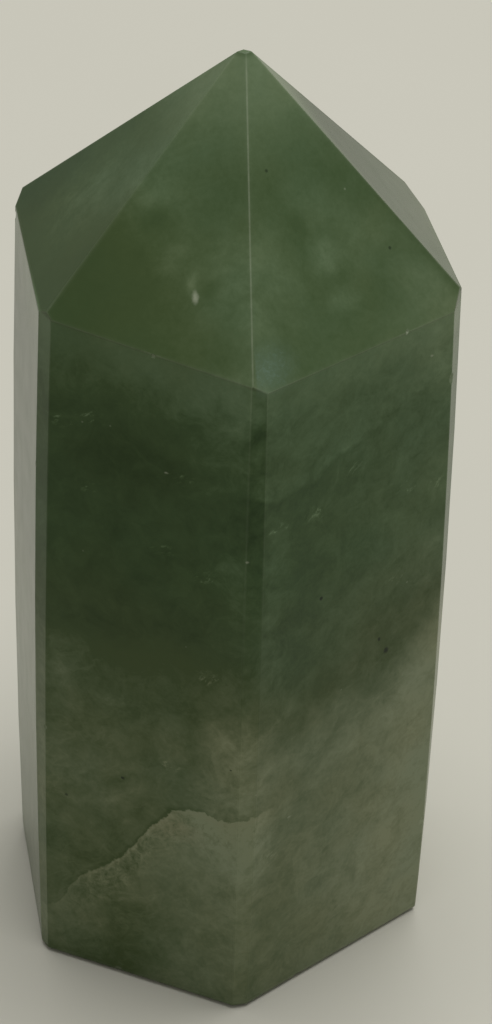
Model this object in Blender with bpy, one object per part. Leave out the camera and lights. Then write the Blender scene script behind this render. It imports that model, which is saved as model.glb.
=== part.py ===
"""A polished point of green aventurine: a six-sided tower under a six-sided crown, cut from one stone.

The stone is one solid. It is ground out of a round blank, plane by plane, in the order in which such a point is
cut: six upright sides, a narrow flat on each upright corner, six crown facets that meet in a short ridge, a small
worn flat at the tip, and last the easing of every edge. Each upright face stands out a little at mid-height.
Nothing is regular to the last degree, because each face is held to the wheel by hand.

The frame is metres with +Z up. The origin is the middle of the base. Turns are compass-like: 0 degrees looks
along +X, and they go counter-clockwise seen from above.
"""

import math
from typing import Iterator, NamedTuple

import bmesh
import bpy
from mathutils import Vector

NAME = "aventurine_tower"
STONE = "stone"
MM = 0.001


class Upright(NamedTuple):
    """An upright face: the way it looks, its distance from the axis and its lean away from the axis."""

    turn: float
    reach: float
    lean: float


class Facet(NamedTuple):
    """A crown facet: the way it looks, its slope from level and how far behind the tip it is ground."""

    turn: float
    slope: float
    set_back: float


class Cut(NamedTuple):
    """A plane that stone is ground down to: a point on it in metres and the way it looks."""

    point: Vector
    outward: Vector


# Driving dimensions, in millimetres and degrees
HEIGHT = 99.8
TIP = Vector((0.6, -0.7, 100.2))
GAUGE_HEIGHT = 38.0
BELLY_HEIGHT = 38.5
BELLY = 0.5
EDGE_RADIUS = 0.4
BASE_RADIUS = 0.9

SIDES = (
    Upright(turn=-179.5, reach=19.9, lean=-0.2),
    Upright(turn=-121.5, reach=20.2, lean=0.2),
    Upright(turn=-58.5, reach=19.3, lean=0.0),
    Upright(turn=1.5, reach=20.3, lean=0.3),
    Upright(turn=58.5, reach=19.1, lean=0.0),
    Upright(turn=120.0, reach=19.6, lean=0.1),
)
CORNER_FLATS = (
    Upright(turn=-154.5, reach=22.4, lean=-0.2),
    Upright(turn=-86.0, reach=22.6, lean=0.1),
    Upright(turn=-25.0, reach=22.5, lean=-0.4),
    Upright(turn=29.5, reach=21.5, lean=-0.1),
    Upright(turn=89.0, reach=21.7, lean=0.0),
    Upright(turn=155.0, reach=21.9, lean=0.3),
)
CROWN = (
    Facet(turn=-181.0, slope=47.0, set_back=-0.3),
    Facet(turn=-117.0, slope=47.5, set_back=0.0),
    Facet(turn=-58.0, slope=52.0, set_back=0.0),
    Facet(turn=3.5, slope=49.25, set_back=-0.1),
    Facet(turn=58.5, slope=48.75, set_back=0.1),
    Facet(turn=118.0, slope=46.0, set_back=0.0),
)

# How finely the rounding is cut
BELLY_PASSES = 5
EDGE_PASSES = 2
BASE_PASSES = 3

# The round bar that the faces are ground into, in millimetres
BLANK_RADIUS = 27.0
BLANK_HEIGHT = 106.0
BLANK_SIDES = 48

# Faces that turn by fewer degrees than this are passes of one face, with no edge between them
PASS_JOIN = 3.0
CUT_TOLERANCE = 1e-8
WELD_DISTANCE = 1e-6
BASE_LEVEL = 1e-5


def compass(turn: float) -> Vector:
    """The level unit vector that looks the way of a turn."""
    return Vector((math.cos(math.radians(turn)), math.sin(math.radians(turn)), 0.0))


def round_blank() -> bmesh.types.BMesh:
    """The blank: a plain round bar that stands on the base."""
    blank = bmesh.new()
    bmesh.ops.create_cone(
        blank,
        cap_ends=True,
        segments=BLANK_SIDES,
        radius1=BLANK_RADIUS * MM,
        radius2=BLANK_RADIUS * MM,
        depth=BLANK_HEIGHT * MM,
    )
    bmesh.ops.translate(blank, verts=blank.verts, vec=(0.0, 0.0, BLANK_HEIGHT / 2 * MM))
    return blank


def grind(stone: bmesh.types.BMesh, cut: Cut) -> None:
    """Takes off what stands outside a plane and closes the wound with one flat face."""
    sliced = bmesh.ops.bisect_plane(
        stone,
        geom=stone.verts[:] + stone.edges[:] + stone.faces[:],
        dist=CUT_TOLERANCE,
        plane_co=cut.point,
        plane_no=cut.outward,
        clear_outer=True,
    )
    rim = [item for item in sliced["geom_cut"] if isinstance(item, bmesh.types.BMEdge)]
    bmesh.ops.edgeloop_fill(stone, edges=rim)


def upright_cuts(face: Upright) -> Iterator[Cut]:
    """The passes of an upright face, each tangent to the face's belly at its own height."""
    strip = 2 * BELLY_HEIGHT / BELLY_PASSES
    lean = math.tan(math.radians(face.lean))
    for number in range(BELLY_PASSES):
        height = (number + 0.5) * strip
        along = (height - BELLY_HEIGHT) / BELLY_HEIGHT
        reach = face.reach + lean * (height - GAUGE_HEIGHT) + BELLY * (1 - along**2)
        growth = lean - 2 * BELLY * along / BELLY_HEIGHT
        outward = compass(face.turn) - Vector((0.0, 0.0, growth))
        yield Cut((compass(face.turn) * reach + Vector((0.0, 0.0, height))) * MM, outward.normalized())


def crown_cut(facet: Facet) -> Cut:
    """A crown facet, which slopes up to the tip."""
    slope = math.radians(facet.slope)
    outward = compass(facet.turn) * math.sin(slope) + Vector((0.0, 0.0, math.cos(slope)))
    return Cut((TIP - outward * facet.set_back) * MM, outward)


def easing_cuts(edge: bmesh.types.BMEdge) -> list[Cut]:
    """The narrow cuts that round one edge, each tangent to the round."""
    on_base = all(vertex.co.z < BASE_LEVEL for vertex in edge.verts)
    radius = (BASE_RADIUS if on_base else EDGE_RADIUS) * MM
    passes = BASE_PASSES if on_base else EDGE_PASSES
    first, second = (face.normal.copy() for face in edge.link_faces)
    middle = (edge.verts[0].co + edge.verts[1].co) / 2
    centre = middle - (first + second) * radius / (1 + first.dot(second))
    looks = [first.slerp(second, (number + 0.5) / passes) for number in range(passes)]
    return [Cut(centre + look * radius, look) for look in looks]


def ease_edges(stone: bmesh.types.BMesh) -> None:
    """Rounds every edge between two faces, but not the joins between the passes of one face."""
    bmesh.ops.recalc_face_normals(stone, faces=stone.faces)
    sharp = [edge for edge in stone.edges if math.degrees(edge.calc_face_angle()) > PASS_JOIN]
    cuts = [cut for edge in sharp for cut in easing_cuts(edge)]
    for cut in cuts:
        grind(stone, cut)
    bmesh.ops.remove_doubles(stone, verts=stone.verts, dist=WELD_DISTANCE)
    bmesh.ops.recalc_face_normals(stone, faces=stone.faces)


def centre_on_base(stone: bmesh.types.BMesh) -> None:
    """Moves the stone so that the middle of its box stands over the origin."""
    low = [min(vertex.co[axis] for vertex in stone.verts) for axis in range(2)]
    high = [max(vertex.co[axis] for vertex in stone.verts) for axis in range(2)]
    middle = [(a + b) / 2 for a, b in zip(low, high)]
    bmesh.ops.translate(stone, verts=stone.verts, vec=(-middle[0], -middle[1], 0.0))


def stone_material() -> bpy.types.Material:
    """Polished green aventurine: a dark grey-green quartz with a glassy surface."""
    material = bpy.data.materials.new("polished_aventurine")
    material.use_nodes = True
    surface = material.node_tree.nodes["Principled BSDF"]
    surface.inputs["Base Color"].default_value = (0.047, 0.082, 0.033, 1.0)
    surface.inputs["Roughness"].default_value = 0.2
    surface.inputs["Metallic"].default_value = 0.0
    return material


def build_stone() -> bpy.types.Object:
    """The whole stone as one object: ground, eased and centred."""
    stone = round_blank()
    for face in SIDES + CORNER_FLATS:
        for cut in upright_cuts(face):
            grind(stone, cut)
    for facet in CROWN:
        grind(stone, crown_cut(facet))
    grind(stone, Cut(Vector((0.0, 0.0, HEIGHT * MM)), Vector((0.0, 0.0, 1.0))))
    ease_edges(stone)
    centre_on_base(stone)
    mesh = bpy.data.meshes.new(STONE)
    stone.to_mesh(mesh)
    stone.free()
    mesh.materials.append(stone_material())
    return bpy.data.objects.new(STONE, mesh)


def main() -> None:
    """Clears the scene and builds the stone in its own collection."""
    for old in list(bpy.data.objects):
        bpy.data.objects.remove(old, do_unlink=True)
    collection = bpy.data.collections.new(NAME)
    bpy.context.scene.collection.children.link(collection)
    collection.objects.link(build_stone())


main()
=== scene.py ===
"""A polished tower of green aventurine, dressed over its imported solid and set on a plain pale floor.

The stone is one piece. Its mesh is cut finer than the solid's, the passes of each upright side are smoothed
into one belly, and a few small nicks are struck into its edges. Its markings run through the stone as they
do in a real one: every zone, cloud and speck has a place in the stone, so they meet at the edges and carry
on round the back. Lengths here are in millimetres and become metres where a mesh or a light is made.
"""
import logging
import math
from dataclasses import dataclass, field
from enum import Enum
from typing import Any, Iterable

import bmesh
import bpy
from mathutils import Matrix, Vector, kdtree, noise


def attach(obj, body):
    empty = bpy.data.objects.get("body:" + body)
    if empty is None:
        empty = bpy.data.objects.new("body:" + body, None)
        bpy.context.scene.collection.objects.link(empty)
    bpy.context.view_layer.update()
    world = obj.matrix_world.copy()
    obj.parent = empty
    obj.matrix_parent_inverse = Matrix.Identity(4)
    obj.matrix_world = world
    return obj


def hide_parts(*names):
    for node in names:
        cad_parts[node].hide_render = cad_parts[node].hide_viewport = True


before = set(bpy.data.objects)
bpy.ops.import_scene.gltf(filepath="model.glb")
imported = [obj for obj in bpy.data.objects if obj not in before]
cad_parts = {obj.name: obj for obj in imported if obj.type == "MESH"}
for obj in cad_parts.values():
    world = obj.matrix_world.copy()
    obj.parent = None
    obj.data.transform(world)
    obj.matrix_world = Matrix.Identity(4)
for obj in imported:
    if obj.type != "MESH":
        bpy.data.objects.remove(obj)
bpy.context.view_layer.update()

MM = 0.001
LOG = logging.getLogger("aventurine_tower")
Colour = tuple[float, float, float, float]
Place = tuple[float, float, float]
Line = tuple[tuple[float, float], ...]
Stops = tuple[tuple[float, Colour], ...]


def colour(red: float, green: float, blue: float) -> Colour:
    """A linear colour with full alpha."""
    return (red, green, blue, 1.0)


class Shade(Enum):
    """The vertex attributes that tell the finish where on the stone it is."""

    EDGE = "worn_edge"
    RIDGE = "edge_ridge"
    CORNER = "corner_flat"
    NICK = "nick"


class Wire:
    """An output socket that takes part in arithmetic: each operator adds one Math node."""

    def __init__(self, board: "Board", socket: bpy.types.NodeSocket) -> None:
        """Holds the socket and the board that new nodes go on.

        Args:
            board: The board the socket's node is on.
            socket: The output socket.
        """
        self.board = board
        self.socket = socket

    def maths(self, operation: str, first: Any, second: Any = 0.0) -> "Wire":
        """Adds one Math node.

        Args:
            operation: The Math node's operation.
            first: The first input, a wire or a number.
            second: The second input, a wire or a number.

        Returns:
            The node's output.
        """
        return self.board.wire("ShaderNodeMath", {"operation": operation}, {0: first, 1: second})

    def __add__(self, other: Any) -> "Wire":
        """This value plus another."""
        return self.maths("ADD", self, other)

    def __radd__(self, other: Any) -> "Wire":
        """Another value plus this one."""
        return self.maths("ADD", other, self)

    def __sub__(self, other: Any) -> "Wire":
        """This value less another."""
        return self.maths("SUBTRACT", self, other)

    def __rsub__(self, other: Any) -> "Wire":
        """Another value less this one."""
        return self.maths("SUBTRACT", other, self)

    def __mul__(self, other: Any) -> "Wire":
        """This value times another."""
        return self.maths("MULTIPLY", self, other)

    def __rmul__(self, other: Any) -> "Wire":
        """Another value times this one."""
        return self.maths("MULTIPLY", other, self)

    def __neg__(self) -> "Wire":
        """This value with its sign turned."""
        return self.maths("MULTIPLY", self, -1.0)

    def __abs__(self) -> "Wire":
        """This value without its sign."""
        return self.maths("ABSOLUTE", self)

    def at_most(self, other: Any) -> "Wire":
        """The smaller of this value and another."""
        return self.maths("MINIMUM", self, other)

    def at_least(self, other: Any) -> "Wire":
        """The larger of this value and another."""
        return self.maths("MAXIMUM", self, other)


class Board:
    """A node tree, with short calls for the nodes that the finishes use."""

    def __init__(self, tree: bpy.types.NodeTree) -> None:
        """Clears the tree.

        Args:
            tree: The tree of a material or a world.
        """
        self.tree = tree
        tree.nodes.clear()

    def node(self, kind: str, settings: dict[str, Any] | None = None,
             inputs: dict[Any, Any] | None = None) -> bpy.types.Node:
        """Adds one node of any kind.

        Args:
            kind: The node's type name.
            settings: What is set first: the node's own properties, a ramp's "stops" or a curve's "points".
            inputs: The value or wire of each input, by its identifier, name or number.

        Returns:
            The node.
        """
        made = self.tree.nodes.new(kind)
        for name, value in (settings or {}).items():
            if name == "stops":
                self._set_stops(made.color_ramp, value)
            elif name == "points":
                self._set_points(made.mapping, value)
            else:
                setattr(made, name, value)
        for key, value in (inputs or {}).items():
            socket = self._socket(made.inputs, key)
            if isinstance(value, Wire):
                self.tree.links.new(value.socket, socket)
            else:
                socket.default_value = value
        return made

    @staticmethod
    def _socket(sockets: Iterable[bpy.types.NodeSocket], key: Any) -> bpy.types.NodeSocket:
        """Finds a socket.

        Args:
            sockets: The inputs or outputs of a node.
            key: The socket's number, or else its identifier or name.

        Returns:
            The socket.
        """
        if isinstance(key, int):
            return sockets[key]
        return next((s for s in sockets if s.identifier == key), None) or sockets[key]

    @staticmethod
    def _set_stops(ramp: bpy.types.ColorRamp, stops: Iterable[tuple[float, Colour]]) -> None:
        """Gives a colour ramp its stops.

        Args:
            ramp: A new ramp.
            stops: Its positions, from the lowest up, each with its colour.
        """
        for number, (position, tint) in enumerate(stops):
            stop = ramp.elements[number] if number < 2 else ramp.elements.new(position)
            stop.position, stop.color = position, tint

    @staticmethod
    def _set_points(mapping: bpy.types.CurveMapping, points: Iterable[tuple[float, float]]) -> None:
        """Gives a curve its points.

        Args:
            mapping: The mapping of a new curve node.
            points: Its positions, from the lowest up, each with its value.
        """
        curve = mapping.curves[0]
        for number, (along, value) in enumerate(points):
            point = curve.points[number] if number < 2 else curve.points.new(along, value)
            point.location = (along, value)
        mapping.update()

    def wire(self, kind: str, settings: dict[str, Any] | None = None, inputs: dict[Any, Any] | None = None,
             output: Any = 0) -> Wire:
        """Adds one node and takes one of its outputs.

        Args:
            kind: The node's type name.
            settings: As for node.
            inputs: As for node.
            output: The identifier, name or number of the output.

        Returns:
            That output.
        """
        return Wire(self, self._socket(self.node(kind, settings, inputs).outputs, output))

    def step(self, value: Any, low: float, high: float) -> Wire:
        """A soft step that is 0 below low and 1 above high, or the other way round where low is the larger.

        Args:
            value: What is measured.
            low: Where the step starts.
            high: Where it ends.

        Returns:
            The step, from 0 to 1.
        """
        return self.wire(
            "ShaderNodeMapRange",
            {"interpolation_type": "SMOOTHSTEP"},
            {"Value": value, "From Min": low, "From Max": high},
        )

    def drop(self, value: Any, low: float, high: float) -> Wire:
        """A soft step the other way: 1 below low and 0 above high."""
        return 1.0 - self.step(value, low, high)

    def vector(self, operation: str, first: Any, second: Any = (0.0, 0.0, 0.0), output: Any = 0) -> Wire:
        """Adds one Vector Math node.

        Args:
            operation: The node's operation.
            first: The first vector.
            second: The second vector.
            output: 0 for a vector or "Value" for a number.

        Returns:
            The node's output.
        """
        return self.wire("ShaderNodeVectorMath", {"operation": operation}, {0: first, 1: second}, output)

    def mix(self, share: Any, first: Any, second: Any, blend: str = "MIX") -> Wire:
        """Mixes two colours.

        Args:
            share: How much of the second colour, from 0 to 1.
            first: The first colour.
            second: The second colour.
            blend: The way they are put together.

        Returns:
            The mixed colour.
        """
        return self.wire(
            "ShaderNodeMix",
            {"data_type": "RGBA", "blend_type": blend, "clamp_factor": True},
            {"Factor_Float": share, "A_Color": first, "B_Color": second},
            "Result_Color",
        )

    def blend(self, share: Any, first: Any, second: Any) -> Wire:
        """Mixes two numbers by a share from 0 to 1."""
        inputs = {"Factor_Float": share, "A_Float": first, "B_Float": second}
        return self.wire("ShaderNodeMix", {"data_type": "FLOAT"}, inputs)

    def clouds(self, place: Any, size: float, detail: float = 3.0, rough: float = 0.5,
               twist: float = 0.0) -> Wire:
        """Soft noise about 0, from about -1 to 1.

        Args:
            place: The place in the stone in millimetres.
            size: The size of its largest clouds in millimetres.
            detail: How many finer layers it has.
            rough: How strong they are.
            twist: How far the noise bends itself.

        Returns:
            The noise.
        """
        raw = self.wire(
            "ShaderNodeTexNoise",
            None,
            {"Vector": place, "Scale": 1.0 / size, "Detail": detail, "Roughness": rough, "Distortion": twist},
        )
        return (raw - 0.5) * 2.6

    def spot(self, place: Any, middle: Place, radii: Place, core: float = 0.2) -> Wire:
        """A soft ball or egg: 1 inside its core and 0 outside its radii.

        Args:
            place: The place in the stone in millimetres.
            middle: Its middle in millimetres.
            radii: Its half lengths along x, y and z in millimetres.
            core: The share of the radii that is full.

        Returns:
            The ball, from 0 to 1.
        """
        squeeze = tuple(1.0 / radius for radius in radii)
        shift = tuple(-along / radius for along, radius in zip(middle, radii))
        inputs = {0: place, 1: squeeze, 2: shift}
        inside = self.wire("ShaderNodeVectorMath", {"operation": "MULTIPLY_ADD"}, inputs)
        return self.step(self.vector("LENGTH", inside, output="Value"), 1.0, core)

    def push(self, place: Wire, size: float, detail: float, reach: float) -> Wire:
        """Pushes a place about with noise, so that what is drawn by it wanders.

        Args:
            place: The place in the stone in millimetres.
            size: The size of the noise's largest swings in millimetres.
            detail: How many finer layers it has.
            reach: How wide the swings are in millimetres.

        Returns:
            The pushed place.
        """
        inputs = {"Vector": place, "Scale": 1.0 / size, "Detail": detail}
        raw = self.wire("ShaderNodeTexNoise", None, inputs, "Color")
        swing = self.vector("SUBTRACT", raw, (0.5, 0.5, 0.5))
        return self.vector("ADD", place, self.vector("MULTIPLY", swing, (reach, reach, reach)))

    def cells(self, place: Wire, size: float, channel: int) -> tuple[Wire, Wire]:
        """Scattered points, each with a chance of its own.

        Args:
            place: The place in the stone in millimetres.
            size: About how far apart the points are in millimetres.
            channel: Which of three sets of chances is read.

        Returns:
            How far the nearest point is, as a share of the size, and its chance from 0 to 1.
        """
        found = self.node("ShaderNodeTexVoronoi", None, {"Vector": place, "Scale": 1.0 / size})
        draws = Wire(self, found.outputs["Color"])
        chance = self.wire("ShaderNodeSeparateColor", None, {0: draws}, channel)
        return Wire(self, found.outputs["Distance"]), chance

    def parts(self, vector: Wire) -> tuple[Wire, ...]:
        """The x, y and z of a vector, each as a wire of its own."""
        split = self.node("ShaderNodeSeparateXYZ", None, {0: vector})
        return tuple(Wire(self, output) for output in split.outputs)

    def millimetres(self) -> Wire:
        """The place on the object in millimetres."""
        raw = self.wire("ShaderNodeTexCoord", output="Object")
        return self.vector("MULTIPLY", raw, (1 / MM, 1 / MM, 1 / MM))

    def surface(self, inputs: dict[str, Any]) -> None:
        """Ends the board with one shader that has these inputs."""
        shader = self.node("ShaderNodeBsdfPrincipled", None, inputs)
        self.node("ShaderNodeOutputMaterial", None, {"Surface": Wire(self, shader.outputs[0])})

    def attribute(self, shade: Shade) -> Wire:
        """One of the stone's vertex attributes."""
        return self.wire("ShaderNodeAttribute", {"attribute_name": shade.value}, None, "Fac")


def new_material(name: str) -> tuple[bpy.types.Material, Board]:
    """Makes an empty material.

    Args:
        name: The material's name.

    Returns:
        The material and its board.
    """
    made = bpy.data.materials.new(name)
    made.use_nodes = True
    return made, Board(made.node_tree)


@dataclass(frozen=True)
class Speck:
    """A grain, or a patch with a place of its own, that shows at the surface.

    Attributes:
        middle: Its place in millimetres.
        radii: Its half lengths in millimetres.
    """

    middle: Place
    radii: Place


@dataclass(frozen=True)
class Haze:
    """A cloud with a place of its own.

    Attributes:
        middle: Its place in millimetres.
        radii: Its half lengths in millimetres.
        lift: How much it lifts or lowers the tone.
    """

    middle: Place
    radii: Place
    lift: float


@dataclass(frozen=True)
class Aventurine:
    """Polished green aventurine: zones of green, grey-green clouds, a pale seam and fine specks.

    Attributes:
        name: The material's name.
        roughness: The polish of the faces.
        index: The stone's refractive index.
        shine: How much of the full reflection head-on the waxy polish keeps, as the shader counts it.
        green: The greens of the upper stone, from its darkest to its palest tone.
        grey: The grey-greens of the lower stone, in the same order.
        chalk: The white of grains and nicks, and of the painted mica glints and highlight lines on the edges.
        dark: The near black of dark grains.
        teal: The bluish sheen under the front shoulder, a painted reflection.
        beige: The warm stone along the seam.
        cool: What the bluer clouds multiply the green with.
        warm: What the more olive clouds multiply it with.
        deep: What the upper part of the upright sides is multiplied with.
        tone_span: The tone at the far end of both runs of colour.
        upper_edge: Where the lighter upper zone ends, as places across the stone with their heights.
        band_edge: Where the dark band under it ends.
        pale_edge: Where the pale foot begins on the front right side.
        seam_edge: The upper edge of the pale seam on the front left side.
        shoulder_left: The shoulder's height on the front left side, with its slopes along x and y.
        shoulder_right: The same on the front right side.
        shoulder_back: The same on the back.
        wedge: The dark wedge on the front left side.
        smoke: Where the crown is mottled most.
        tan: The warmest part of the seam.
        sheen: The bluish sheen, a painted reflection.
        rim_lift: How much the seam's broken rim lifts the tone.
        crust_lift: How much the grit under the rim swings it.
        vein_lift: How much the back's thin vein lifts it.
        feather_lift: How much the plumes lift it.
        line_lift: How much the thin line under the upper zone lifts it.
        hazes: The clouds that stand out.
        feathers: The middles of the small feathery plumes.
        feather_radii: Their half lengths.
        white_specks: The white grains that stand out.
        dark_specks: The dark grains that stand out.
    """

    name: str = "polished_green_aventurine"
    roughness: float = 0.21
    index: float = 1.54
    shine: float = 0.12
    green: Stops = (
        (0.04, colour(0.004, 0.020, 0.002)),
        (0.25, colour(0.056, 0.090, 0.036)),
        (0.37, colour(0.092, 0.135, 0.066)),
        (0.63, colour(0.172, 0.227, 0.130)),
    )
    grey: Stops = (
        (0.23, colour(0.050, 0.076, 0.026)),
        (0.33, colour(0.080, 0.109, 0.049)),
        (0.60, colour(0.162, 0.190, 0.108)),
        (0.80, colour(0.216, 0.245, 0.150)),
    )
    chalk: Colour = colour(0.42, 0.45, 0.34)
    dark: Colour = colour(0.008, 0.014, 0.007)
    teal: Colour = colour(0.130, 0.200, 0.155)
    beige: Colour = colour(0.225, 0.215, 0.130)
    cool: Colour = colour(0.975, 1.0, 1.02)
    warm: Colour = colour(1.03, 1.0, 0.965)
    deep: Colour = colour(0.89, 1.0, 0.95)
    tone_span: float = 0.15

    upper_edge: Line = (
        (-22.0, 68.0), (-17.0, 69.2), (-13.5, 68.8), (-10.0, 66.6), (-6.0, 65.6),
        (-2.0, 66.0), (2.0, 65.4), (6.0, 65.8), (10.0, 67.0), (14.0, 68.6), (22.0, 70.5),
    )
    band_edge: Line = (
        (-22.0, 42.6), (-12.0, 43.2), (-2.0, 45.2), (4.0, 40.4), (12.0, 43.4), (22.0, 45.0),
    )
    pale_edge: Line = (
        (-22.0, 31.0), (1.0, 35.5), (5.0, 36.5), (9.0, 35.5), (13.0, 36.0),
        (16.0, 38.4), (18.5, 41.4), (22.0, 45.0),
    )
    seam_edge: Line = (
        (-22.0, 5.0), (-18.6, 8.0), (-16.8, 11.9), (-15.5, 13.4), (-13.4, 15.5), (-11.3, 19.1), (-9.6, 22.5),
        (-7.4, 25.2), (-5.8, 26.1), (-3.8, 25.6), (-0.5, 26.4), (3.0, 26.0), (22.0, 25.0),
    )

    shoulder_left: Place = (77.33, -0.102, 0.0)
    shoulder_right: Place = (76.74, -0.013, 0.0)
    shoulder_back: Place = (77.62, -0.0397, 0.0201)

    wedge: Haze = Haze((-12.0, -16.0, 66.0), (10.0, 14.0, 8.5), -0.013)
    smoke: tuple[Speck, ...] = (
        Speck((-9.5, -13.0, 85.0), (7.0, 9.0, 6.5)),
        Speck((7.0, -12.0, 83.5), (6.0, 8.0, 6.0)),
    )
    tan: Speck = Speck((-7.8, -19.0, 22.6), (5.0, 5.0, 2.6))
    sheen: Speck = Speck((-0.2, -20.8, 78.3), (4.6, 5.0, 2.9))
    rim_lift: float = 0.040
    crust_lift: float = 0.060
    vein_lift: float = 0.030
    feather_lift: float = 0.060
    line_lift: float = 0.018
    hazes: tuple[Haze, ...] = (
        # On the crown
        Haze((-9.0, -6.0, 89.0), (6.0, 7.0, 8.0), 0.014),
        Haze((6.0, -8.5, 87.5), (4.5, 4.5, 5.0), 0.008),
        Haze((-9.1, -8.5, 87.4), (2.3, 2.6, 2.2), -0.012),
        Haze((4.0, -10.2, 86.9), (2.2, 2.6, 2.2), -0.008),
        Haze((-14.5, 0.0, 85.0), (9.5, 9.5, 13.0), 0.014),
        Haze((10.5, -9.0, 85.0), (5.0, 5.0, 6.0), 0.010),
        Haze((-8.1, -11.7, 84.8), (2.8, 3.0, 2.4), 0.012),
        Haze((-1.0, -15.0, 84.5), (9.0, 8.0, 7.5), 0.014),
        Haze((6.7, -10.9, 84.4), (2.8, 3.0, 2.8), 0.018),
        Haze((-6.5, -13.7, 83.9), (0.9, 1.2, 1.8), 0.018),
        Haze((-4.5, -14.6, 83.4), (1.7, 2.0, 1.7), -0.010),
        Haze((7.1, -12.2, 82.5), (2.0, 2.4, 1.8), -0.006),
        Haze((8.0, -13.0, 81.2), (2.8, 2.8, 2.4), 0.014),
        Haze((-0.8, -18.5, 80.2), (3.2, 3.8, 3.8), 0.012),
        Haze((17.0, -10.5, 79.5), (6.0, 6.0, 6.0), 0.012),
        Haze((-2.0, -21.8, 77.0), (3.5, 3.5, 3.5), 0.012),
        # On the upper sides
        Haze((-4.0, -21.5, 74.5), (7.0, 6.0, 4.5), 0.012),
        Haze((18.5, -11.2, 72.0), (4.0, 4.0, 8.0), 0.013),
        Haze((-0.8, -22.7, 70.4), (2.2, 2.0, 2.2), 0.006),
        Haze((-11.5, -16.5, 66.0), (7.5, 7.0, 5.0), -0.012),
        Haze((-3.2, -21.6, 57.0), (3.0, 4.0, 8.0), 0.009),
        Haze((1.0, -22.0, 54.0), (3.0, 3.0, 20.0), 0.009),
        Haze((-19.0, -12.5, 50.0), (3.5, 3.5, 14.0), 0.007),
        Haze((18.8, -10.8, 49.0), (3.0, 3.0, 6.0), 0.010),
        Haze((-3.0, -22.0, 48.0), (4.5, 4.0, 15.0), 0.006),
        # On the lower front left side and the front corner
        Haze((-18.8, -12.5, 38.0), (3.5, 4.0, 6.0), 0.012),
        Haze((-3.0, -21.7, 37.0), (4.5, 4.5, 9.0), 0.017),
        Haze((-2.0, -22.7, 35.7), (4.2, 5.0, 4.6), 0.024),
        Haze((-8.3, -18.9, 33.3), (3.0, 4.0, 4.6), 0.022),
        Haze((-0.8, -22.6, 32.0), (3.2, 3.0, 9.0), 0.010),
        Haze((-2.5, -22.0, 29.0), (7.5, 6.0, 11.0), 0.036),
        Haze((-15.0, -14.5, 28.5), (7.5, 5.0, 13.0), 0.010),
        Haze((-9.5, -18.0, 27.0), (6.0, 5.0, 5.0), 0.010),
        Haze((-13.2, -15.7, 24.5), (3.6, 4.0, 3.0), 0.016),
        Haze((-18.8, -12.5, 24.0), (5.0, 5.0, 10.0), 0.016),
        Haze((-2.5, -21.8, 22.5), (7.0, 5.0, 6.0), 0.026),
        Haze((-0.8, -22.6, 12.0), (3.2, 3.0, 11.0), 0.008),
        Haze((-3.0, -21.8, 9.0), (6.5, 5.0, 12.0), 0.012),
        Haze((-7.0, -19.0, 9.0), (11.0, 8.0, 12.0), 0.014),
        Haze((-8.8, -18.3, 8.2), (6.0, 7.0, 5.0), -0.011),
        Haze((-17.5, -13.0, 4.0), (8.0, 6.0, 7.5), 0.024),
        # On the lower front right side
        Haze((1.5, -21.3, 40.0), (4.0, 4.0, 8.0), 0.009),
        Haze((8.0, -17.5, 35.5), (3.5, 3.5, 4.0), 0.014),
        Haze((4.6, -20.3, 31.6), (5.0, 5.0, 4.5), 0.020),
        Haze((3.5, -20.3, 25.5), (3.0, 3.0, 4.0), 0.012),
        Haze((13.0, -14.5, 25.0), (5.5, 5.0, 8.0), -0.017),
        Haze((1.2, -21.6, 21.5), (4.5, 4.0, 9.0), 0.014),
        Haze((15.2, -13.0, 14.5), (1.7, 3.0, 3.6), 0.024),
        # On the hidden sides
        Haze((-12.0, 16.0, 60.0), (7.0, 6.0, 9.0), 0.012),
        Haze((20.5, 4.0, 60.0), (3.0, 7.0, 6.0), -0.014),
        Haze((4.0, 21.0, 33.0), (8.0, 5.0, 7.0), 0.022),
    )
    feathers: tuple[Place, ...] = (
        (-9.0, -18.3, 57.0), (-5.5, -20.5, 55.1), (-15.8, -14.1, 62.1), (8.7, -17.0, 64.0),
        (14.7, -13.5, 48.0), (5.4, -19.0, 60.8), (-5.0, -20.9, 43.2), (1.0, -21.7, 60.8),
        (-7.6, -19.1, 65.6), (-18.3, -12.5, 68.7), (-15.6, -14.1, 69.9), (-8.0, -19.0, 31.0),
        (1.5, -21.4, 19.9), (-3.5, 21.0, 52.0), (15.0, 13.0, 61.0), (15.5, -13.0, 58.6),
        (18.6, -11.2, 57.4), (-20.0, 3.0, 55.0), (20.5, 1.0, 47.0),
    )
    feather_radii: Place = (2.2, 2.2, 1.3)
    white_specks: tuple[Speck, ...] = (
        Speck((-6.12, -14.8, 82.8), (0.42, 0.8, 1.05)),
        Speck((14.1, -13.3, 76.5), (0.26, 0.3, 0.24)),
        Speck((17.1, -11.6, 72.7), (0.22, 0.24, 0.2)),
        Speck((-1.9, -22.7, 58.2), (0.24, 0.3, 0.22)),
        Speck((-9.1, -18.3, 65.9), (0.4, 0.3, 0.2)),
        Speck((3.6, -20.0, 24.0), (0.5, 0.3, 0.25)),
    )
    dark_specks: tuple[Speck, ...] = (
        Speck((6.2, -18.7, 50.2), (0.26, 0.3, 0.28)),
        Speck((14.0, -14.0, 39.5), (0.45, 0.4, 0.5)),
        Speck((13.1, -14.5, 41.4), (0.2, 0.2, 0.3)),
        Speck((-12.6, -16.2, 27.4), (0.36, 0.3, 0.26)),
        Speck((-2.7, -22.3, 32.5), (0.2, 0.2, 0.18)),
    )

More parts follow.
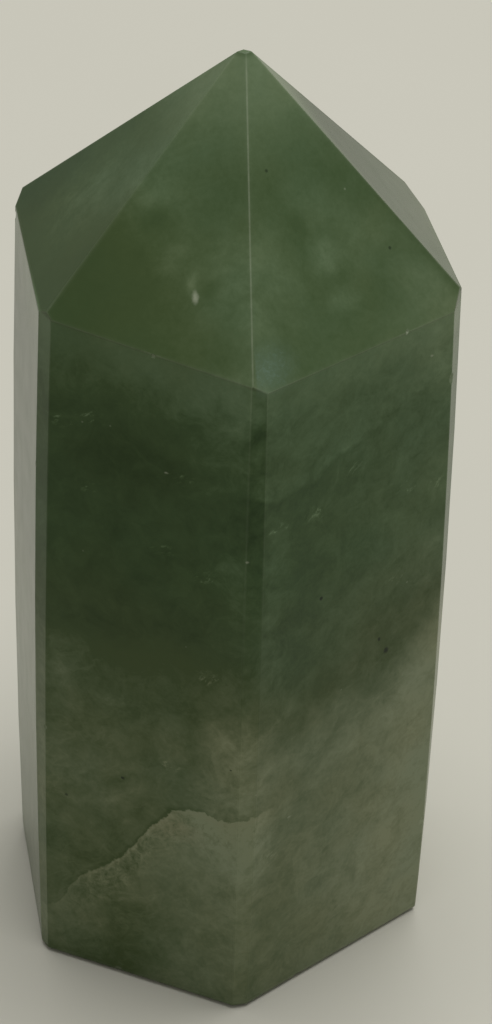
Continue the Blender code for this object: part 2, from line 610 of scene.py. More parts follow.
    def material(self) -> bpy.types.Material:
        """Builds the finish.

        Returns:
            The material.
        """
        made, board = new_material(self.name)
        marks = Markings(board, self)
        edge, nick = board.attribute(Shade.EDGE), board.attribute(Shade.NICK)
        rough = self.roughness + 0.12 * edge + 0.3 * nick + 0.03 * board.clouds(marks.place, 3.0)
        board.surface({
            "Base Color": marks.worn(marks.specked(marks.body()), edge, nick),
            "Roughness": rough,
            "IOR": self.index,
            "Specular IOR Level": self.shine,
            "Normal": marks.relief(nick),
        })
        return made


class Markings:
    """Works out the stone's colour from its finish, place by place.

    A tone is how pale the stone is, from 0 to the finish's tone span; some of it is painted light and shade.
    The methods take the tone or the colour so far and give it back with their own marks.
    """

    def __init__(self, board: Board, finish: Aventurine) -> None:
        """Finds where each place lies in the stone.

        Args:
            board: The board of the stone's material.
            finish: The stone's finish.
        """
        self.board, self.finish = board, finish
        self.place = board.millimetres()
        self.bent = board.push(self.place, 7.0, 4.0, 4.0)
        self.slanted = board.wire(
            "ShaderNodeMapping",
            {"vector_type": "TEXTURE"},
            {"Vector": self.bent, "Rotation": (0.0, math.radians(-36.0), 0.0), "Scale": (2.8, 1.7, 1.0)},
        )
        self.x, self.y, self.z = x, y, z = board.parts(self.place)
        self.bent_x, _, self.bent_z = board.parts(self.bent)

        # The zones rise a little towards the back
        behind = (y + 16.0) * 0.11
        self.over_upper = self.bent_z - self.height(finish.upper_edge) - behind
        self.lower = board.drop(self.bent_z - self.height(finish.band_edge) - behind, -4.0, 4.0)

        # How far the place is below the shoulder, where the colour of the upright sides ends
        left, right, back = (
            edge[0] + edge[1] * x + edge[2] * y
            for edge in (finish.shoulder_left, finish.shoulder_right, finish.shoulder_back)
        )
        front_edge = board.blend(board.step(x, -3.0, 0.6), left, right)
        self.depth = board.blend(board.step(y, -9.9, 8.1), front_edge, back) - z
        self.upright = board.step(self.depth, -0.15, 0.25)

        # The pale seam, which rises across the front left side and fades past the front corner
        jag = 0.85 * board.clouds(self.place, 1.6, 5.0, 0.62) + 0.4 * board.clouds(self.place, 5.0, 2.0)
        self.under = self.height(finish.seam_edge) - z + jag
        front = board.drop(x, -1.0, 3.0) * board.drop(y, -8.0, 1.0)
        self.seam = board.step(self.under, -0.12, 0.12) * front
        self.along = front * board.step(x, -20.5, -13.0)
        self.rim = board.step(self.under, -0.05, 0.2) * board.drop(self.under, 0.2, 1.1) * self.along
        self.grit = board.clouds(self.bent, 0.95, 3.0, 0.8, 0.4)

    def height(self, points: Line) -> Wire:
        """A height that changes with x.

        Args:
            points: Places along x, each with its height, in millimetres.

        Returns:
            The height in millimetres.
        """
        low, high, tall = points[0][0], points[-1][0], 100.0
        scaled = tuple(((along - low) / (high - low), height / tall) for along, height in points)
        along = (self.x - low) * (1.0 / (high - low))
        return self.board.wire("ShaderNodeFloatCurve", {"points": scaled}, {"Value": along}) * tall

    def spots(self, specks: Iterable[Speck], core: float) -> Wire:
        """Several soft balls or eggs together.

        Args:
            specks: Their places and sizes.
            core: The share of the radii that is full.

        Returns:
            Their sum.
        """
        balls = [self.board.spot(self.place, speck.middle, speck.radii, core) for speck in specks]
        return sum(balls[1:], balls[0])

    def body(self) -> Wire:
        """The stone's own colour, before its specks.

        Returns:
            The colour.
        """
        return self.tinted(self.marked(self.textured(self.hazy(self.seamed(self.zoned())))))

    def zoned(self) -> Wire:
        """The tone of each zone: crown, upper sides, dark band and pale foot.

        Returns:
            The tone.
        """
        board, x, y, z = self.board, self.x, self.y, self.z
        # Paler towards the tip; darker towards the left and paler towards the right, painted shade and light
        # as if lit from the right
        crown = 0.040 + 0.034 * board.step(z, 90.0, 100.0) - 0.014 * board.step(-x, 4.0, 18.0)
        crown = crown + 0.010 * board.step(x, 10.0, 20.0)
        wedge = self.finish.wedge
        # The upright sides, above and in the dark band, pale towards the right: painted light from the right
        flank = 0.042 + 0.0009 * x + wedge.lift * board.spot(self.bent, wedge.middle, wedge.radii, 0.3)
        top = board.blend(board.step(z, 70.0, 80.0), flank, crown)
        band = (0.031 + 0.0010 * x).at_least(0.020)
        over_pale = self.bent_z - self.height(self.finish.pale_edge)
        over_pale = over_pale + 1.8 * board.clouds(self.place, 4.0, 4.0, 0.6)
        rightward = board.wire(
            "ShaderNodeMapRange", None, {"Value": self.bent_x, "From Min": -3.0, "From Max": 18.0}
        )
        pale = board.drop(over_pale, -7.0, 3.0) * rightward
        foot = 0.040 + 0.007 * board.drop(z, 31.0, 41.0) + 0.066 * pale
        tone = board.blend(self.lower, board.blend(board.step(self.over_upper, -0.4, 0.4), band, top), foot)

        # The crown's back right face is darker, a painted shade against the bright reflection it gets, and
        # the upright sides are paler right under the shoulder, painted light that softens the shading step
        # from the crown
        painted_shade_back_right = board.step(0.48 * x + 0.88 * y, 0.8, 3.0) * board.step(x, 2.0, 8.0)
        tone = tone - 0.022 * painted_shade_back_right * board.step(z, 76.0, 78.5)
        tone = tone + 0.014 * board.step(z, 71.0, 76.0) * self.upright
        return tone + 0.010 * board.step(abs(x), 1.0, 12.0) * self.upright * board.drop(self.depth, 0.5, 4.5)

    def seamed(self, tone: Wire) -> Wire:
        """Lays the pale seam in, with its bright broken rim, its gritty crust and a dark line over it.

        Args:
            tone: The tone so far.

        Returns:
            The tone with the seam.
        """
        board, under, finish = self.board, self.under, self.finish
        faded = board.step(under - 0.35 * self.x, 4.0, 18.0)
        tone = board.blend(self.seam, tone, 0.094 - 0.030 * board.step(-self.x, 6.0, 14.0) - 0.034 * faded)
        dotted = board.step(board.clouds(self.place, 0.5, 1.0), -0.2, 0.5)
        crust = board.step(under, 0.0, 0.5) * board.drop(under, 1.5, 7.0) * self.along
        tone = tone + finish.rim_lift * self.rim * (0.2 + 0.8 * dotted)
        tone = tone + finish.crust_lift * crust * self.grit
        return tone - 0.012 * self.along * board.step(under, -0.9, -0.15) * board.drop(under, -0.15, 0.0)

    def hazy(self, tone: Wire) -> Wire:
        """Adds the clouds that stand out, each a little torn.

        Args:
            tone: The tone so far.

        Returns:
            The tone with these clouds.
        """
        board = self.board
        torn = 0.65 + 0.7 * board.step(board.clouds(self.bent, 1.6, 4.0, 0.7), -0.5, 0.6)
        for haze in self.finish.hazes:
            tone = tone + haze.lift * board.spot(self.bent, haze.middle, haze.radii, 0.0) * torn
        return tone

    def textured(self, tone: Wire) -> Wire:
        """Adds the mottling, wisps, strokes, threads and grain, which are stronger below the shoulder.

        Args:
            tone: The tone so far.

        Returns:
            The tone with its texture.
        """
        board, place, lower = self.board, self.place, self.lower
        broad = board.clouds(place, 11.0, 3.0)
        mottle = board.clouds(self.bent, 3.0, 5.0, 0.68, 0.5)
        grain = board.clouds(place, 0.55, 1.5, 0.8)
        smoke = self.spots(self.finish.smoke, 0.1)
        below = board.drop(self.z, 72.0, 78.0)
        mottling = (0.15 + 0.08 * smoke + 0.22 * below) * mottle
        tone = tone * (1.0 + 0.06 * broad + mottling + (0.08 + 0.05 * below) * grain)
        tone = tone + (0.014 - 0.010 * board.step(self.x, -3.0, 5.0).at_least(lower)) * below * mottle

        wisps = board.step(board.clouds(self.slanted, 1.7, 5.0, 0.65), 0.1, 1.0)
        strokes = board.step(board.clouds(self.slanted, 0.34, 1.0), 0.55, 0.95)
        strokes = strokes * board.step(board.clouds(place, 4.5, 1.0), 0.25, 0.7)
        threads = board.drop(abs(board.clouds(self.slanted, 2.4, 3.0, 0.6)), 0.0, 0.13)
        threads = threads * board.step(broad, -0.3, 0.4)
        return tone + (0.020 * lower + 0.003) * wisps + 0.016 * strokes + 0.008 * lower * threads

    def marked(self, tone: Wire) -> Wire:
        """Adds the thin vein, the plumes, the line under the upper zone, and painted shade and light on the
        corner flats.

        Args:
            tone: The tone so far.

        Returns:
            The tone with its marks.
        """
        board, finish, x, z = self.board, self.finish, self.x, self.z

        # A thin pale vein that climbs round the back
        vein_place = 0.42 * x + z - 47.0 + 2.2 * board.clouds(self.bent, 6.0, 3.0)
        vein = board.drop(abs(vein_place), 0.05, 0.75) * board.step(self.y, 3.0, 9.0)
        tone = tone + finish.vein_lift * vein * board.step(board.clouds(self.place, 2.0, 4.0, 0.7), -0.4, 0.5)

        plumes = self.spots((Speck(middle, finish.feather_radii) for middle in finish.feathers), 0.0)
        plumes = plumes * board.step(board.clouds(self.slanted, 0.5, 3.0, 0.7), 0.05, 0.6)
        broken = board.step(board.clouds(self.place, 2.2, 3.0), -0.1, 0.7)
        line = board.drop(abs(self.over_upper), 0.1, 0.5) * broken
        tone = tone + finish.feather_lift * plumes + finish.line_lift * line

        # The corner flats get painted shade and light: the front one darker, the left one and the lower parts
        # of all paler; the tip's worn flat is a little darker
        corner = board.attribute(Shade.CORNER)
        front_flat_shade = 0.006 * board.step(z, 48.0, 62.0) + 0.006 * board.step(z, 70.5, 73.0)
        tone = tone - corner * board.step(-self.y, 17.0, 20.0) * front_flat_shade
        tone = tone + corner * (0.006 * board.drop(z, 30.0, 54.0) + 0.012 * board.step(-x, 12.0, 16.0))
        return tone - 0.018 * board.step(z, 99.3, 99.7)

    def tinted(self, tone: Wire) -> Wire:
        """Turns the tone into a colour: green above, grey-green below and beige along the seam.

        Args:
            tone: The finished tone.

        Returns:
            The colour.
        """
        board, finish, x = self.board, self.finish, self.x
        level = {0: tone * (1.0 / finish.tone_span)}
        green = board.wire("ShaderNodeValToRGB", {"stops": finish.green}, level)
        grey = board.wire("ShaderNodeValToRGB", {"stops": finish.grey}, level)
        leftward = 0.5 * board.step(-x - self.y * 0.6, 12.0, 18.0)
        # The greyer right side is partly the stone's grey-green and partly painted reflection
        greyness = (self.lower.at_least(self.seam) + 0.35 * board.step(x, 6.0, 20.0) + leftward).at_most(1.0)
        patches = board.step(board.clouds(self.place, 9.0, 2.0), -0.6, 0.6)
        depths = board.mix(self.upright * board.step(self.z, 46.0, 56.0), colour(1.0, 1.0, 1.0), finish.deep)
        hue = board.mix(1.0, board.mix(patches, finish.cool, finish.warm), depths, "MULTIPLY")
        made = board.mix(1.0, board.mix(greyness, green, grey), hue, "MULTIPLY")
        tan = 0.5 * board.spot(self.bent, finish.tan.middle, finish.tan.radii, 0.1) * self.seam
        return board.mix(tan * board.step(self.grit, -0.8, 0.8) + 0.15 * self.rim, made, finish.beige)

    def specked(self, base: Wire) -> Wire:
        """Lays the painted sheen, the mica flecks with their painted glints, the pits and the grains over the
        colour.

        Args:
            base: The colour so far.

        Returns:
            The colour with its specks.
        """
        board, place, finish = self.board, self.place, self.finish
        # The bluish sheen is a painted reflection
        sheen = self.spots([finish.sheen], 0.0) * board.step(self.x, -1.6, -1.3)
        dust = board.step(board.clouds(place, 0.35, 2.0, 0.8), -0.2, 0.8)
        made = board.mix(sheen * (0.3 + 0.4 * dust), base, finish.teal)

        # Mica flecks, painted pale as glints
        near, chance = board.cells(place, 2.3, 0)
        mica_glints = board.drop(near, 0.02, 0.07) * board.step(chance, 0.82, 0.92)
        made = board.mix(0.2 * mica_glints, made, finish.chalk)
        near, chance = board.cells(place, 6.1, 1)
        pits = board.drop(near, 0.015, 0.04) * board.step(chance, 0.6, 0.64)
        made = board.mix(0.6 * pits, made, finish.dark)

        ragged = board.push(place, 0.4, 3.0, 0.35)
        for speck in finish.white_specks:
            made = board.mix(0.5 * board.spot(ragged, speck.middle, speck.radii, 0.1), made, finish.chalk)
        for speck in finish.dark_specks:
            made = board.mix(0.85 * board.spot(ragged, speck.middle, speck.radii, 0.35), made, finish.dark)
        return made

    def worn(self, base: Wire, edge: Wire, nick: Wire) -> Wire:
        """Pales the edges, partly as wear and partly as painted highlight lines along their ridges, and
        whitens the nicks.

        Args:
            base: The colour so far.
            edge: How worn the place is, from 0 to 1.
            nick: 1 in a nick and 0 elsewhere.

        Returns:
            The finished colour.
        """
        board, z = self.board, self.z
        # The pale lines along the edge ridges are painted highlight, partly wear, strongest on the front
        # crown edge
        front_crown = board.drop(abs(self.x), 1.0, 2.2) * board.step(-self.y, 0.2, 2.0)
        front_crown = front_crown * board.step(z, 77.3, 78.3)
        shoulder = board.drop(abs(z - 78.0), 2.0, 4.0)
        broken = 0.6 + 0.4 * board.step(board.clouds(self.place, 1.3, 3.0, 0.7), -0.7, 0.6)
        ridge = board.step(board.attribute(Shade.RIDGE), 0.0, 0.7)
        raised = board.step(z, 38.0, 60.0)
        edge_highlight_and_wear = ridge * broken * (0.03 * raised + 0.06 * shoulder + 0.18 * front_crown)
        edge_highlight_and_wear = edge_highlight_and_wear + 0.015 * edge * raised
        return board.mix(0.2 * nick, board.mix(edge_highlight_and_wear, base, self.finish.chalk), self.finish.chalk)

    def relief(self, nick: Wire) -> Wire:
        """The last trace of the polishing wheel, with tiny pits, and rough stone in the nicks.

        Args:
            nick: 1 in a nick and 0 elsewhere.

        Returns:
            The normal.
        """
        board, place = self.board, self.place
        pitted = (0.25 + 2.5 * nick) * board.clouds(place, 0.3, 3.0, 0.7)
        height = 0.35 * board.clouds(place, 1.9, 3.0) + pitted
        return board.wire("ShaderNodeBump", None, {"Strength": 0.5, "Distance": 0.004 * MM, "Height": height})


@dataclass(frozen=True)
class Nick:
    """A small shell-shaped chip on an edge.

    Attributes:
        near: A place near the edge, in millimetres; the chip goes on the nearest worn edge.
        radius: The radius of the shell in millimetres.
        depth: How deep it bites in millimetres.
    """

    near: Place
    radius: float
    depth: float


@dataclass
class Stone:
    """The stone's mesh: the solid's own faces, cut finer, smoothed and nicked.

    Attributes:
        node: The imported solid's object, which stays as it is.
        cell: The size of the mesh's cells.
        rim: The width of the strip along each edge over which the wear fades.
        join: The widest angle, in degrees, between two passes of one ground face.
        least_area: The smallest area of a ground face, in square millimetres.
        belly: How far the upright sides bulge at their middle.
        belly_height: The height of that middle.
        belly_passes: How many flat passes the solid's belly has.
        sway: How deep the hand grinding dips the faces.
        sway_size: How wide a dip is.
        calm: How far from an edge the dips reach their full depth.
        search: How far from a nick's place its edge is looked for.
        grain: How many cuts a nick's faces get on each side of its middle.
        shell_waver: How uneven a nick's shell is, as a share of its radius.
        shell_size: How wide its uneven places are.
        upright_tilt: How much of an upright face's direction may be vertical.
        flat_area: The largest area of a corner flat, in square millimetres.
        nicks: The nicks on the edges.
        facets: The ground faces by number: which way each looks.
        EASING: The number of the rounded edges, which aren't ground faces.
        STRUCK: The number of the faces inside a nick.
    """

    node: bpy.types.Object
    cell: float = 1.25
    rim: float = 0.3
    join: float = 3.0
    least_area: float = 25.0
    belly: float = 0.5
    belly_height: float = 38.5
    belly_passes: int = 5
    sway: float = 0.012
    sway_size: float = 9.0
    calm: float = 3.0
    search: float = 11.0
    grain: int = 4
    shell_waver: float = 0.10
    shell_size: float = 0.35
    upright_tilt: float = 0.1
    flat_area: float = 500.0
    nicks: tuple[Nick, ...] = (
        Nick((21.0, -9.5, 69.0), 0.9, 0.14),
        Nick((-10.5, -17.5, 77.6), 0.4, 0.06),
        Nick((14.2, -13.2, 76.8), 0.35, 0.06),
        Nick((-20.5, -9.4, 62.0), 0.5, 0.08),
        Nick((-19.7, -11.4, 31.0), 0.6, 0.08),
        Nick((19.4, -11.0, 13.0), 0.8, 0.12),
        Nick((6.0, -19.0, 0.3), 0.9, 0.14),
        Nick((-13.0, -15.8, 0.3), 0.9, 0.12),
        Nick((20.3, 8.0, 76.5), 0.7, 0.1),
        Nick((19.9, 10.6, 38.0), 0.8, 0.12),
        Nick((2.0, 21.8, 55.0), 0.7, 0.1),
        Nick((-1.0, 21.6, 78.0), 0.6, 0.1),
        Nick((-19.2, 11.2, 22.0), 0.8, 0.12),
        Nick((-19.6, 9.8, 77.5), 0.7, 0.1),
        Nick((10.0, 16.2, 0.3), 1.0, 0.15),
        Nick((-12.0, 15.6, 0.3), 0.8, 0.12),
    )
    facets: dict[int, Vector] = field(default_factory=dict)

    EASING = 0
    STRUCK = -1

    def build(self, finish: Aventurine) -> bpy.types.Object:
        """Makes the stone and dresses it.

        Args:
            finish: The stone's finish.

        Returns:
            The stone as one object.
        """
        work = bmesh.new()
        work.from_mesh(self.node.data)
        self.heal(work)
        self.find_facets(work)
        self.cut_rims(work)
        self.cut_cells(work)
        self.smooth_belly(work)
        self.sway_faces(work)
        for nick in self.nicks:
            self.strike(work, nick)
        mesh = bpy.data.meshes.new("polished_stone")
        bmesh.ops.triangulate(work, faces=work.faces[:])
        work.to_mesh(mesh)
        normals = self.mark_and_shade(work, mesh)
        work.free()
        mesh.polygons.foreach_set("use_smooth", [True] * len(mesh.polygons))
        mesh.normals_split_custom_set(normals)
        mesh.materials.append(finish.material())
        made = bpy.data.objects.new("polished_stone", mesh)
        bpy.context.scene.collection.objects.link(made)
        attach(made, "root")
        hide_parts(self.node.name)
        counts = len(mesh.polygons), len(self.facets), len(self.nicks)
        LOG.info("stone: %d faces, %d facets, %d nicks", *counts)
        return made

    @staticmethod
    def heal(work: bmesh.types.BMesh) -> None:
        """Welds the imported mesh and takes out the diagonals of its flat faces.

        Args:
            work: The mesh.
        """
        bmesh.ops.remove_doubles(work, verts=work.verts, dist=1e-6)
        bmesh.ops.dissolve_limit(work, angle_limit=math.radians(0.2), verts=work.verts, edges=work.edges)
        bmesh.ops.recalc_face_normals(work, faces=work.faces)

    def find_facets(self, work: bmesh.types.BMesh) -> None:
        """Numbers each ground face of the stone, made of its passes, and leaves the easings 0.

        Args:
            work: The mesh.
        """
        number = work.faces.layers.int.new("facet")
        seen: set[bmesh.types.BMFace] = set()
        for start in work.faces[:]:
            if start in seen:
                continue
            group, open_faces = [], [start]
            seen.add(start)
            while open_faces:
                face = open_faces.pop()
                group.append(face)
                for edge in face.edges:
                    if len(edge.link_faces) == 2 and math.degrees(edge.calc_face_angle(0.0)) < self.join:
                        for other in edge.link_faces:
                            if other not in seen:
                                seen.add(other)
                                open_faces.append(other)
            look = sum((face.normal * face.calc_area() for face in group), Vector())
            if look.length > self.least_area * MM * MM:
                self.facets[len(self.facets) + 1] = look.normalized()
                for face in group:
                    face[number] = len(self.facets)

    @staticmethod
    def slices(work: bmesh.types.BMesh, pieces: list, point: Vector, across: Vector) -> list:
        """Cuts some of the mesh by one plane and opens nothing.

        Args:
            work: The mesh.
            pieces: The vertices, edges and faces to cut.
            point: A place on the plane.
            across: The plane's normal.

        Returns:
            The pieces with those that the cut made.
        """
        return bmesh.ops.bisect_plane(work, geom=pieces, dist=1e-7, plane_co=point, plane_no=across)["geom"]

    @staticmethod
    def with_bounds(faces: Iterable[bmesh.types.BMFace]) -> list:
        """Lists what some faces are made of.

        Args:
            faces: The faces.

        Returns:
            Their vertices and edges and the faces themselves, each once.
        """
        faces = list(faces)
        edges = {edge for face in faces for edge in face.edges}
        verts = {vert for face in faces for vert in face.verts}
        return [*verts, *edges, *faces]

    def cut_rims(self, work: bmesh.types.BMesh) -> None:
        """Cuts a narrow strip along every side of every facet.

        Args:
            work: The mesh.
        """
        number = work.faces.layers.int["facet"]
        for facet, look in self.facets.items():
            faces = [face for face in work.faces if face[number] == facet]
            planes = []
            for face in faces:
                for edge in face.edges:
                    if any(other[number] != facet for other in edge.link_faces):
                        along = (edge.verts[1].co - edge.verts[0].co).normalized()
                        inward = look.cross(along)
                        if (face.calc_center_median() - edge.verts[0].co).dot(inward) < 0:
                            inward.negate()
                        planes.append((edge.verts[0].co + inward * self.rim * MM, inward))
            pieces = self.with_bounds(faces)
            for point, inward in planes:
                pieces = self.slices(work, pieces, point, inward)

    def cut_cells(self, work: bmesh.types.BMesh) -> None:
        """Cuts the facets into small cells.

        Args:
            work: The mesh.
        """
        number = work.faces.layers.int["facet"]
        for facet, look in self.facets.items():
            faces = [face for face in work.faces if face[number] == facet]
            level = Vector((0.0, 0.0, 1.0)).cross(look)
            across = level.normalized() if level.length > 0.1 else Vector((1.0, 0.0, 0.0))
            upward = look.cross(across).normalized()
            for direction in (across, upward):
                reach = [vert.co.dot(direction) for face in faces for vert in face.verts]
                low, high = min(reach), max(reach)
                count = max(1, round((high - low) / (self.cell * MM)))
                pieces = self.with_bounds(face for face in work.faces if face[number] == facet)
                for cut in range(1, count):
                    point = direction * (low + (high - low) * cut / count)
                    pieces = self.slices(work, pieces, point, direction)

    def smooth_belly(self, work: bmesh.types.BMesh) -> None:
        """Turns the passes of each upright face into one smooth belly, which lies just inside them.

        Args:
            work: The mesh.
        """
        number = work.faces.layers.int["facet"]
        strip = 2 * self.belly_height / self.belly_passes
        bend = self.belly / self.belly_height**2
        moves: dict[bmesh.types.BMVert, Vector] = {}
        for face in work.faces:
            look = self.facets.get(face[number])
            if look is None or abs(look.z) > self.upright_tilt:
                continue
            for vert in face.verts:
                height = vert.co.z / MM
                touch = (min(self.belly_passes - 1, math.floor(height / strip)) + 0.5) * strip
                moves[vert] = look * -(bend * (height - touch) ** 2) * MM
        for vert, move in moves.items():
            vert.co += move

    def sway_faces(self, work: bmesh.types.BMesh) -> None:
        """Gives the faces above the base the slight sway that hand grinding leaves, inwards only.

        Args:
            work: The mesh.
        """
        number = work.faces.layers.int["facet"]
        rims = [v for v in work.verts if len({face[number] for face in v.link_faces}) > 1]
        tree = kdtree.KDTree(len(rims))
        for index, vert in enumerate(rims):
            tree.insert(vert.co, index)
        tree.balance()
        for vert in work.verts:
            look = self.facets.get(vert.link_faces[0][number])
            if look is None or look.z < -0.5:
                continue
            share = min(1.0, tree.find(vert.co)[2] / (self.calm * MM))
            wave = 0.5 + 0.5 * noise.noise(vert.co / (self.sway_size * MM))
            vert.co -= look * self.sway * wave * share * share * (3 - 2 * share) * MM

    def strike(self, work: bmesh.types.BMesh, nick: Nick) -> None:
        """Strikes one nick into the worn edge nearest to its place.

        Args:
            work: The mesh.
            nick: The nick.
        """
        number = work.faces.layers.int["facet"]
        near = Vector(nick.near) * MM
        around = [face for face in work.faces if (face.calc_center_bounds() - near).length < self.search * MM]
        worn = [face for face in around if face[number] == self.EASING]
        edge_face = min(worn, key=lambda face: self.gap(face, near))
        spot = self.nearest(edge_face, near)
        radius = nick.radius * MM
        centre = spot + edge_face.normal * (radius - nick.depth * MM)
        pieces = self.with_bounds(f for f in around if self.gap(f, spot) < radius * 1.1)
        off_middle = 0.31
        for axis in range(3):
            direction = Vector([float(axis == other) for other in range(3)])
            for cut in range(-self.grain, self.grain + 1):
                point = spot + direction * radius * (cut + off_middle) / self.grain
                pieces = self.slices(work, pieces, point, direction)
        faces = [item for item in pieces if isinstance(item, bmesh.types.BMFace)]
        faces = bmesh.ops.triangulate(work, faces=faces)["faces"]
        struck = set()
        for vert in {vert for face in faces for vert in face.verts}:
            away = vert.co - centre
            shell = radius * (1.0 + self.shell_waver * noise.noise(vert.co / (self.shell_size * MM)))
            if 0 < away.length < shell and vert.co.z > 1e-6:
                vert.co = centre + away.normalized() * shell
                vert.co.z = max(vert.co.z, 0.0)
                struck.add(vert)
        for face in faces:
            if any(vert in struck for vert in face.verts):
                face[number] = self.STRUCK

    @staticmethod
    def nearest(face: bmesh.types.BMFace, place: Vector) -> Vector:
        """Finds the nearest place on a face's outline.

        Args:
            face: The face.
            place: The place that it has to be near.

        Returns:
            The place on the outline.
        """
        best = None
        for edge in face.edges:
            start, end = (vert.co for vert in edge.verts)
            along = end - start
            share = max(0.0, min(1.0, (place - start).dot(along) / max(along.length_squared, 1e-18)))
            found = start + along * share
            if best is None or (found - place).length < (best - place).length:
                best = found
        return best

    def gap(self, face: bmesh.types.BMFace, place: Vector) -> float:
        """The distance from a place to a face's outline."""
        return (self.nearest(face, place) - place).length

    def mark_and_shade(self, work: bmesh.types.BMesh, mesh: bpy.types.Mesh) -> list[Vector]:
        """Writes the attributes and works out the normals: facets flat, easings round, nicks crisp.

        Args:
            work: The mesh as it was cut.
            mesh: The mesh data that came from it, in the same order.

        Returns:
            A normal for each corner of each face.
        """
        number = work.faces.layers.int["facet"]
        work.verts.index_update()
        sums: dict[tuple[int, int], Vector] = {}
        kinds: list[set[int]] = [set() for _ in work.verts]
        for face in work.faces:
            weighted = face.normal * face.calc_area() * 1e6
            for vert in face.verts:
                key = (vert.index, face[number])
                sums[key] = sums.get(key, Vector()) + weighted
                kinds[vert.index].add(face[number])
        flats = self.corner_flats(work)
        values = {
            Shade.EDGE: [float(self.EASING in kind or self.STRUCK in kind) for kind in kinds],
            Shade.RIDGE: [float(kind == {self.EASING}) for kind in kinds],
            Shade.CORNER: [float(bool(kind & flats)) for kind in kinds],
            Shade.NICK: [float(self.STRUCK in kind and len(kind) == 1) for kind in kinds],
        }
        for shade, numbers in values.items():
            mesh.attributes.new(shade.value, "FLOAT", "POINT").data.foreach_set("value", numbers)
        normals = []
        for face in work.faces:
            for loop in face.loops:
                index, own = loop.vert.index, face[number]
                ground = [kind for kind in kinds[index] if kind > 0]
                sources = ground if own == self.EASING and ground else [own]
                total = sum((sums[(index, kind)] for kind in sources), Vector())
                normals.append(total.normalized() if total.length > 1e-12 else face.normal.copy())
        return normals

    def corner_flats(self, work: bmesh.types.BMesh) -> set[int]:
        """Finds the narrow upright facets on the corners.

        Args:
            work: The mesh.

        Returns:
            Their numbers.
        """
        number = work.faces.layers.int["facet"]
        area: dict[int, float] = {}
        for face in work.faces:
            area[face[number]] = area.get(face[number], 0.0) + face.calc_area() / (MM * MM)
        upright = [facet for facet, look in self.facets.items() if abs(look.z) < self.upright_tilt]
        return {facet for facet in upright if area.get(facet, 0.0) < self.flat_area}


@dataclass(frozen=True)
class PaleFloor:
    """The floor's finish: matt off-white card with a faint tooth.

    Attributes:
        name: The material's name.
        tint: Its colour.
        shaded: The colour of its slightly darker clouds.
        cloud_size: How wide those clouds are.
        roughness: How matt the card is.
        shine: How much of the full reflection head-on it has, as the shader counts it.
    """

    name: str = "pale_floor"
    tint: Colour = colour(0.585, 0.572, 0.50)
    shaded: Colour = colour(0.565, 0.552, 0.48)
    cloud_size: float = 60.0
    roughness: float = 0.85
    shine: float = 0.2

    def material(self) -> bpy.types.Material:
        """Builds the finish.

        Returns:
            The material.
        """
        made, board = new_material(self.name)
        patchy = board.clouds(board.millimetres(), self.cloud_size) * 0.5 + 0.5
        tint = board.mix(patchy, self.tint, self.shaded)
        board.surface({"Base Color": tint, "Roughness": self.roughness, "Specular IOR Level": self.shine})
        return made


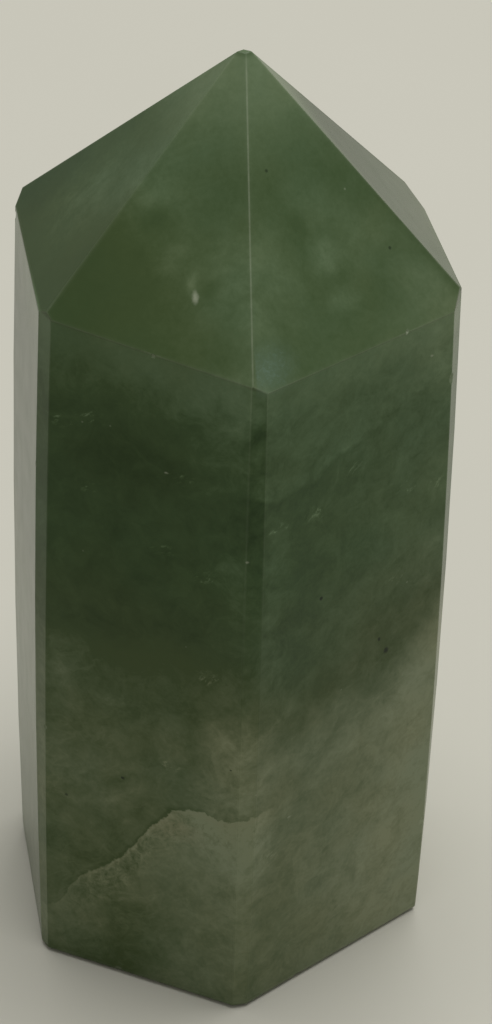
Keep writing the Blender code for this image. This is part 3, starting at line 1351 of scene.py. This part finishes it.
@dataclass
class Studio:
    """The floor, the light and the camera.

    Attributes:
        aim: The place that the camera looks at.
        azimuth: The camera's turn round the stone; 0 looks along +Y.
        elevation: Its height above level.
        roll: How far its right side is tilted up.
        distance: Its distance from the place that it looks at.
        lens: The focal length.
        sensor: The height of the sensor.
        clip: The nearest and the farthest distance that it sees.
        sky: The colour of the room's soft light.
        sky_strength: How strong that light is.
        floor_size: The length of the floor's sides.
        box_place: The place of the soft box.
        box_size: The length of its sides.
        box_watts: Its power.
        box_aim: The place that it looks at.
    """

    aim: Place = (1.85, 0.15, 47.32)
    azimuth: float = -9.925
    elevation: float = 35.84
    roll: float = 1.975
    distance: float = 334.8
    lens: float = 116.58
    sensor: float = 36.0
    clip: tuple[float, float] = (10.0, 20000.0)
    sky: Colour = colour(1.0, 0.995, 0.95)
    sky_strength: float = 0.33
    floor_size: float = 6000.0
    box_place: Place = (150.0, 120.0, 1150.0)
    box_size: float = 900.0
    box_watts: float = 11.0
    box_aim: Place = (0.0, 0.0, 50.0)

    def build(self) -> None:
        """Makes everything round the stone."""
        self.floor()
        self.light()
        self.camera()
        LOG.info("studio: floor, soft light and camera")

    def floor(self) -> None:
        """Lays the floor under the stone."""
        mesh = bpy.data.meshes.new("floor")
        half = self.floor_size / 2 * MM
        work = bmesh.new()
        bmesh.ops.create_grid(work, x_segments=8, y_segments=8, size=half)
        work.to_mesh(mesh)
        work.free()
        mesh.materials.append(PaleFloor().material())
        floor = bpy.data.objects.new("floor", mesh)
        bpy.context.scene.collection.objects.link(floor)

    def light(self) -> None:
        """Fills the room with soft light, with one large soft box overhead."""
        scene = bpy.context.scene
        scene.view_settings.view_transform = "Standard"
        scene.world = bpy.data.worlds.new("soft_room")
        scene.world.use_nodes = True
        board = Board(scene.world.node_tree)
        room = board.node("ShaderNodeBackground", None, {"Color": self.sky, "Strength": self.sky_strength})
        board.node("ShaderNodeOutputWorld", None, {"Surface": Wire(board, room.outputs[0])})
        lamp = bpy.data.lights.new("soft_box", "AREA")
        lamp.shape, lamp.size, lamp.energy = "SQUARE", self.box_size * MM, self.box_watts
        box = bpy.data.objects.new("soft_box", lamp)
        box.location = Vector(self.box_place) * MM
        box.rotation_mode = "QUATERNION"
        box.rotation_quaternion = (Vector(self.box_aim) * MM - box.location).to_track_quat("-Z", "Y")
        scene.collection.objects.link(box)

    def camera(self) -> None:
        """Sets the camera up at the viewing angle."""
        turn, rise = math.radians(self.azimuth), math.radians(self.elevation)
        back = Vector((math.sin(turn) * math.cos(rise), -math.cos(turn) * math.cos(rise), math.sin(rise)))
        lens = bpy.data.cameras.new("camera")
        lens.lens, lens.sensor_width, lens.sensor_fit = self.lens, self.sensor, "AUTO"
        lens.clip_start, lens.clip_end = (reach * MM for reach in self.clip)
        camera = bpy.data.objects.new("camera", lens)
        level = Vector((math.cos(turn), math.sin(turn), 0.0))
        over = back.cross(level)
        lean = math.radians(self.roll)
        right = level * math.cos(lean) + over * math.sin(lean)
        turned = Matrix((right, back.cross(right), back)).transposed().to_4x4()
        camera.matrix_world = Matrix.Translation((Vector(self.aim) + back * self.distance) * MM) @ turned
        bpy.context.scene.collection.objects.link(camera)
        bpy.context.scene.camera = camera


def main() -> None:
    """Builds the stone and the studio."""
    logging.basicConfig(level=logging.INFO)
    Studio().build()
    Stone(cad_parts["stone"]).build(Aventurine())


if __name__ == "__main__":
    main()
